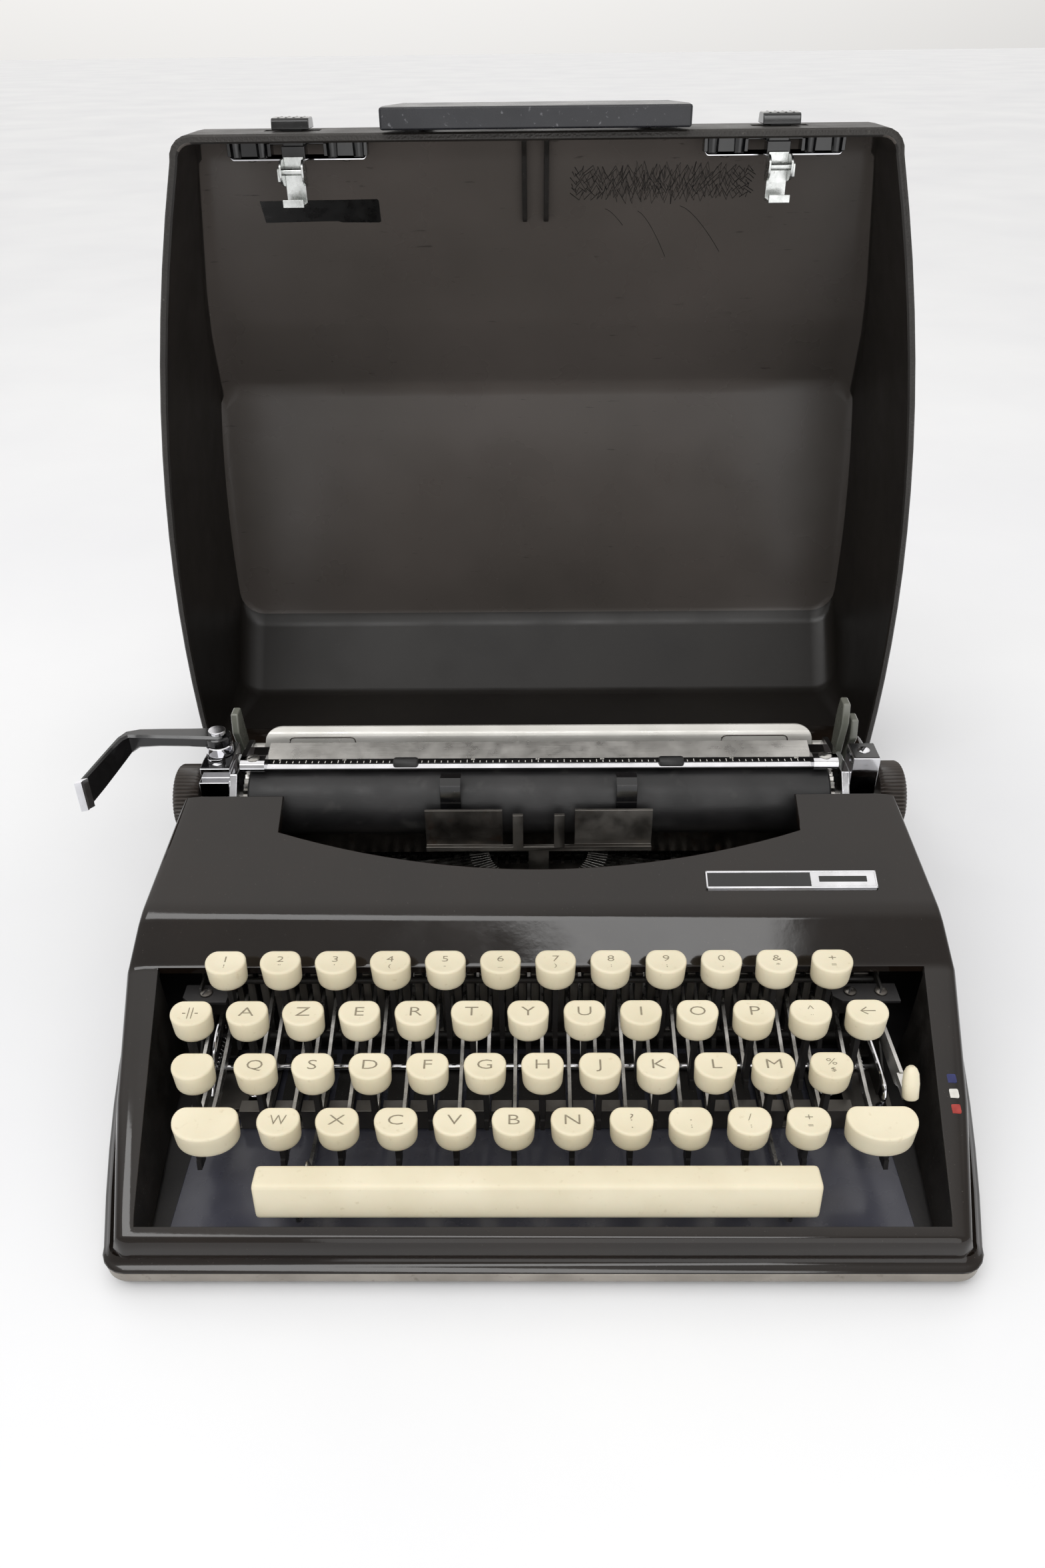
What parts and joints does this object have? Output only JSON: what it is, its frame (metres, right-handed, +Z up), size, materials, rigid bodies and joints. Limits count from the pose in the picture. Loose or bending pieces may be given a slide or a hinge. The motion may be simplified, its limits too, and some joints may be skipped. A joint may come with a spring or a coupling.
{
  "type": "portable typewriter",
  "caption": "Portable manual typewriter in an opened carrying case: sloping keyboard, sliding carriage with platen and return lever, standing hinged lid with handle and latches.",
  "frame": {"origin": "middle of the flat underside of the base pan, between the four rubber pads", "axes": "+Z up, +X to the typist's right, +Y away from the typist"},
  "size_m": [0.3468, 0.393, 0.3036],
  "materials": {
    "tray_metal": "satin",
    "rubber": "matte",
    "floor_paint": "satin",
    "shell": "gloss",
    "bright_trim": "brushed",
    "frame_steel": "satin",
    "lever_steel": "satin",
    "spool_metal": "satin",
    "chrome_plate": "polished",
    "platen_rubber": "satin",
    "black_plastic": "gloss",
    "black_enamel": "gloss",
    "grey_enamel": "gloss",
    "case_plastic": "leather grain outside, smooth inside",
    "key_plastic": "satin"
  },
  "bodies": {
    "base": {"base_tray": "tray_metal", "rubber_pads": "rubber", "floor_plate": "floor_paint", "body_shell": "shell", "badge": "bright_trim", "mech_frame": "frame_steel", "type_segment": "frame_steel", "typebars": "lever_steel", "ribbon_guide": "lever_steel"},
    "carriage": {"carriage_frame": "chrome_plate", "paper_table": "bright_trim"},
    "platen": {"platen": "platen_rubber", "platen_knobs": "black_plastic"},
    "lid": {"case_lid": "case_plastic", "latch_housings": "black_plastic"},
    "ribbon_spool_left": {"ribbon_spool_left": "spool_metal"},
    "ribbon_spool_right": {"ribbon_spool_right": "spool_metal"},
    "ball_cage": {"ball_cage": "lever_steel"},
    "lever_hub": {"lever_hub": "chrome_plate"},
    "return_lever": {"return_lever": "black_enamel"},
    "paper_bail": {"paper_bail": "chrome_plate"},
    "paper_release_lever": {"paper_release_lever": "grey_enamel"},
    "carriage_release_lever": {"carriage_release_lever": "grey_enamel"},
    "carry_handle": {"carry_handle": "black_plastic"},
    "latch_left": {"latch_left": "chrome_plate"},
    "latch_right": {"latch_right": "chrome_plate"},
    "shift_keys": {"shift_keys": "key_plastic"},
    "shift_lock": {"shift_lock": "key_plastic"},
    "margin_release_key": {"margin_release_key": "key_plastic"},
    "backspace_key": {"backspace_key": "key_plastic"},
    "space_bar": {"space_bar": "key_plastic"},
    "ribbon_selector": {"ribbon_selector": "key_plastic"},
    "number_row_keys": {"number_row_keys": "key_plastic"},
    "sign_keys": {"sign_keys": "key_plastic"},
    "type_key_a": {"type_key_a": "key_plastic"},
    "type_key_z": {"type_key_z": "key_plastic"},
    "type_key_e": {"type_key_e": "key_plastic"},
    "type_key_r": {"type_key_r": "key_plastic"},
    "type_key_t": {"type_key_t": "key_plastic"},
    "type_key_y": {"type_key_y": "key_plastic"},
    "type_key_u": {"type_key_u": "key_plastic"},
    "type_key_i": {"type_key_i": "key_plastic"},
    "type_key_o": {"type_key_o": "key_plastic"},
    "type_key_p": {"type_key_p": "key_plastic"},
    "type_key_q": {"type_key_q": "key_plastic"},
    "type_key_s": {"type_key_s": "key_plastic"},
    "type_key_d": {"type_key_d": "key_plastic"},
    "type_key_f": {"type_key_f": "key_plastic"},
    "type_key_g": {"type_key_g": "key_plastic"},
    "type_key_h": {"type_key_h": "key_plastic"},
    "type_key_j": {"type_key_j": "key_plastic"},
    "type_key_k": {"type_key_k": "key_plastic"},
    "type_key_l": {"type_key_l": "key_plastic"},
    "type_key_m": {"type_key_m": "key_plastic"},
    "type_key_w": {"type_key_w": "key_plastic"},
    "type_key_x": {"type_key_x": "key_plastic"},
    "type_key_c": {"type_key_c": "key_plastic"},
    "type_key_v": {"type_key_v": "key_plastic"},
    "type_key_b": {"type_key_b": "key_plastic"},
    "type_key_n": {"type_key_n": "key_plastic"}
  },
  "joints": [
    {"name": "lid_swing", "type": "hinge", "parent": "base", "child": "lid", "pos_m": [0, 0.145, 0.008], "axis": [-1, 0, 0], "range_deg": [-90, 0]},
    {"name": "carriage_left_travel", "type": "slide", "parent": "base", "child": "ball_cage", "axis": [-1, 0, 0], "range_m": [0, 0.104]},
    {"name": "carriage_right_travel", "type": "slide", "parent": "ball_cage", "child": "carriage", "axis": [1, 0, 0], "range_m": [0, 0.104]},
    {"name": "return_lever_stroke", "type": "hinge", "parent": "carriage", "child": "lever_hub", "pos_m": [-0.127, 0.034, 0.09], "axis": [0, 0, 1], "range_deg": [0, 20], "stiffness_Nm_per_rad": 0.3, "springref_deg": -8.59},
    {"name": "return_lever_fold", "type": "hinge", "parent": "lever_hub", "child": "return_lever", "pos_m": [-0.127, 0.034, 0.094], "axis": [0, 0, 1], "range_deg": [0, 85]},
    {"name": "paper_bail_lift", "type": "hinge", "parent": "carriage", "child": "paper_bail", "pos_m": [0, 0.044, 0.068], "axis": [-1, 0, 0], "range_deg": [0, 40]},
    {"name": "handle_fold", "type": "hinge", "parent": "lid", "child": "carry_handle", "pos_m": [0, 0.164, 0.299], "axis": [-1, 0, 0], "range_deg": [0, 80]},
    {"name": "latch_left_slide", "type": "slide", "parent": "lid", "child": "latch_left", "axis": [-1, 0, 0], "range_m": [0, 0.006], "stiffness_N_per_m": 200, "springref_m": -0.006},
    {"name": "latch_right_slide", "type": "slide", "parent": "lid", "child": "latch_right", "axis": [1, 0, 0], "range_m": [0, 0.006], "stiffness_N_per_m": 200, "springref_m": -0.006},
    {"name": "paper_release_tilt", "type": "hinge", "parent": "carriage", "child": "paper_release_lever", "pos_m": [0.123, 0.05, 0.066], "axis": [1, 0, 0], "range_deg": [0, 20]},
    {"name": "carriage_release_tilt", "type": "hinge", "parent": "carriage", "child": "carriage_release_lever", "pos_m": [0, 0.058, 0.06], "axis": [-1, 0, 0], "range_deg": [0, 15], "stiffness_Nm_per_rad": 0.5, "springref_deg": -11.46},
    {"name": "platen_turn", "type": "hinge", "parent": "carriage", "child": "platen", "pos_m": [0, 0.0265, 0.071], "axis": [-1, 0, 0], "continuous": true},
    {"name": "ribbon_left_turn", "type": "hinge", "parent": "base", "child": "ribbon_spool_left", "pos_m": [-0.103, -0.014, 0.055], "axis": [0, 0, 1], "continuous": true},
    {"name": "ribbon_right_turn", "type": "hinge", "parent": "base", "child": "ribbon_spool_right", "pos_m": [0.103, -0.014, 0.055], "axis": [0, 0, 1], "continuous": true},
    {"name": "shift_press", "type": "hinge", "parent": "base", "child": "shift_keys", "pos_m": [0, 0.093, 0.022], "axis": [1, 0, 0], "range_deg": [0, 2.9], "stiffness_Nm_per_rad": 2.5, "springref_deg": -14.32},
    {"name": "space_bar_press", "type": "hinge", "parent": "base", "child": "space_bar", "pos_m": [0, -0.08, 0.0072], "axis": [1, 0, 0], "range_deg": [0, 5], "stiffness_Nm_per_rad": 0.4, "springref_deg": -17.19},
    {"name": "shift_lock_press", "type": "hinge", "parent": "base", "child": "shift_lock", "pos_m": [0, 0.093, 0.022], "axis": [1, 0, 0], "range_deg": [0, 3], "stiffness_Nm_per_rad": 0.6, "springref_deg": -11.46},
    {"name": "margin_release_press", "type": "hinge", "parent": "base", "child": "margin_release_key", "pos_m": [0, 0.093, 0.022], "axis": [1, 0, 0], "range_deg": [0, 3], "stiffness_Nm_per_rad": 0.6, "springref_deg": -11.46},
    {"name": "backspace_press", "type": "hinge", "parent": "base", "child": "backspace_key", "pos_m": [0, 0.093, 0.022], "axis": [1, 0, 0], "range_deg": [0, 3], "stiffness_Nm_per_rad": 0.6, "springref_deg": -11.46},
    {"name": "ribbon_selector_tilt", "type": "hinge", "parent": "base", "child": "ribbon_selector", "pos_m": [0.1205, -0.03, 0.026], "axis": [1, 0, 0], "range_deg": [-4, 4]},
    {"name": "number_row_press", "type": "hinge", "parent": "base", "child": "number_row_keys", "pos_m": [0, 0.093, 0.022], "axis": [1, 0, 0], "range_deg": [0, 3.6], "stiffness_Nm_per_rad": 7, "springref_deg": -11.46},
    {"name": "sign_keys_press", "type": "hinge", "parent": "base", "child": "sign_keys", "pos_m": [0, 0.093, 0.022], "axis": [1, 0, 0], "range_deg": [0, 2.9], "stiffness_Nm_per_rad": 3.6, "springref_deg": -11.46},
    {"name": "type_key_a_press", "type": "hinge", "parent": "base", "child": "type_key_a", "pos_m": [0, 0.093, 0.022], "axis": [1, 0, 0], "range_deg": [0, 3.3], "stiffness_Nm_per_rad": 0.6, "springref_deg": -11.46},
    {"name": "type_key_z_press", "type": "hinge", "parent": "base", "child": "type_key_z", "pos_m": [0, 0.093, 0.022], "axis": [1, 0, 0], "range_deg": [0, 3.3], "stiffness_Nm_per_rad": 0.6, "springref_deg": -11.46},
    {"name": "type_key_e_press", "type": "hinge", "parent": "base", "child": "type_key_e", "pos_m": [0, 0.093, 0.022], "axis": [1, 0, 0], "range_deg": [0, 3.3], "stiffness_Nm_per_rad": 0.6, "springref_deg": -11.46},
    {"name": "type_key_r_press", "type": "hinge", "parent": "base", "child": "type_key_r", "pos_m": [0, 0.093, 0.022], "axis": [1, 0, 0], "range_deg": [0, 3.3], "stiffness_Nm_per_rad": 0.6, "springref_deg": -11.46},
    {"name": "type_key_t_press", "type": "hinge", "parent": "base", "child": "type_key_t", "pos_m": [0, 0.093, 0.022], "axis": [1, 0, 0], "range_deg": [0, 3.3], "stiffness_Nm_per_rad": 0.6, "springref_deg": -11.46},
    {"name": "type_key_y_press", "type": "hinge", "parent": "base", "child": "type_key_y", "pos_m": [0, 0.093, 0.022], "axis": [1, 0, 0], "range_deg": [0, 3.3], "stiffness_Nm_per_rad": 0.6, "springref_deg": -11.46},
    {"name": "type_key_u_press", "type": "hinge", "parent": "base", "child": "type_key_u", "pos_m": [0, 0.093, 0.022], "axis": [1, 0, 0], "range_deg": [0, 3.3], "stiffness_Nm_per_rad": 0.6, "springref_deg": -11.46},
    {"name": "type_key_i_press", "type": "hinge", "parent": "base", "child": "type_key_i", "pos_m": [0, 0.093, 0.022], "axis": [1, 0, 0], "range_deg": [0, 3.3], "stiffness_Nm_per_rad": 0.6, "springref_deg": -11.46},
    {"name": "type_key_o_press", "type": "hinge", "parent": "base", "child": "type_key_o", "pos_m": [0, 0.093, 0.022], "axis": [1, 0, 0], "range_deg": [0, 3.3], "stiffness_Nm_per_rad": 0.6, "springref_deg": -11.46},
    {"name": "type_key_p_press", "type": "hinge", "parent": "base", "child": "type_key_p", "pos_m": [0, 0.093, 0.022], "axis": [1, 0, 0], "range_deg": [0, 3.3], "stiffness_Nm_per_rad": 0.6, "springref_deg": -11.46},
    {"name": "type_key_q_press", "type": "hinge", "parent": "base", "child": "type_key_q", "pos_m": [0, 0.093, 0.022], "axis": [1, 0, 0], "range_deg": [0, 3], "stiffness_Nm_per_rad": 0.6, "springref_deg": -11.46},
    {"name": "type_key_s_press", "type": "hinge", "parent": "base", "child": "type_key_s", "pos_m": [0, 0.093, 0.022], "axis": [1, 0, 0], "range_deg": [0, 3], "stiffness_Nm_per_rad": 0.6, "springref_deg": -11.46},
    {"name": "type_key_d_press", "type": "hinge", "parent": "base", "child": "type_key_d", "pos_m": [0, 0.093, 0.022], "axis": [1, 0, 0], "range_deg": [0, 3], "stiffness_Nm_per_rad": 0.6, "springref_deg": -11.46},
    {"name": "type_key_f_press", "type": "hinge", "parent": "base", "child": "type_key_f", "pos_m": [0, 0.093, 0.022], "axis": [1, 0, 0], "range_deg": [0, 3], "stiffness_Nm_per_rad": 0.6, "springref_deg": -11.46},
    {"name": "type_key_g_press", "type": "hinge", "parent": "base", "child": "type_key_g", "pos_m": [0, 0.093, 0.022], "axis": [1, 0, 0], "range_deg": [0, 3], "stiffness_Nm_per_rad": 0.6, "springref_deg": -11.46},
    {"name": "type_key_h_press", "type": "hinge", "parent": "base", "child": "type_key_h", "pos_m": [0, 0.093, 0.022], "axis": [1, 0, 0], "range_deg": [0, 3], "stiffness_Nm_per_rad": 0.6, "springref_deg": -11.46},
    {"name": "type_key_j_press", "type": "hinge", "parent": "base", "child": "type_key_j", "pos_m": [0, 0.093, 0.022], "axis": [1, 0, 0], "range_deg": [0, 3], "stiffness_Nm_per_rad": 0.6, "springref_deg": -11.46},
    {"name": "type_key_k_press", "type": "hinge", "parent": "base", "child": "type_key_k", "pos_m": [0, 0.093, 0.022], "axis": [1, 0, 0], "range_deg": [0, 3], "stiffness_Nm_per_rad": 0.6, "springref_deg": -11.46},
    {"name": "type_key_l_press", "type": "hinge", "parent": "base", "child": "type_key_l", "pos_m": [0, 0.093, 0.022], "axis": [1, 0, 0], "range_deg": [0, 3], "stiffness_Nm_per_rad": 0.6, "springref_deg": -11.46},
    {"name": "type_key_m_press", "type": "hinge", "parent": "base", "child": "type_key_m", "pos_m": [0, 0.093, 0.022], "axis": [1, 0, 0], "range_deg": [0, 3], "stiffness_Nm_per_rad": 0.6, "springref_deg": -11.46},
    {"name": "type_key_w_press", "type": "hinge", "parent": "base", "child": "type_key_w", "pos_m": [0, 0.093, 0.022], "axis": [1, 0, 0], "range_deg": [0, 2.85], "stiffness_Nm_per_rad": 0.6, "springref_deg": -11.46},
    {"name": "type_key_x_press", "type": "hinge", "parent": "base", "child": "type_key_x", "pos_m": [0, 0.093, 0.022], "axis": [1, 0, 0], "range_deg": [0, 2.85], "stiffness_Nm_per_rad": 0.6, "springref_deg": -11.46},
    {"name": "type_key_c_press", "type": "hinge", "parent": "base", "child": "type_key_c", "pos_m": [0, 0.093, 0.022], "axis": [1, 0, 0], "range_deg": [0, 2.85], "stiffness_Nm_per_rad": 0.6, "springref_deg": -11.46},
    {"name": "type_key_v_press", "type": "hinge", "parent": "base", "child": "type_key_v", "pos_m": [0, 0.093, 0.022], "axis": [1, 0, 0], "range_deg": [0, 2.85], "stiffness_Nm_per_rad": 0.6, "springref_deg": -11.46},
    {"name": "type_key_b_press", "type": "hinge", "parent": "base", "child": "type_key_b", "pos_m": [0, 0.093, 0.022], "axis": [1, 0, 0], "range_deg": [0, 2.85], "stiffness_Nm_per_rad": 0.6, "springref_deg": -11.46},
    {"name": "type_key_n_press", "type": "hinge", "parent": "base", "child": "type_key_n", "pos_m": [0, 0.093, 0.022], "axis": [1, 0, 0], "range_deg": [0, 2.85], "stiffness_Nm_per_rad": 0.6, "springref_deg": -11.46}
  ],
  "couplings": [
    {"joint": "return_lever_fold", "follows": "lid_swing", "ratio": -0.94444},
    {"joint": "ribbon_right_turn", "follows": "ribbon_left_turn", "ratio": 1}
  ]
}
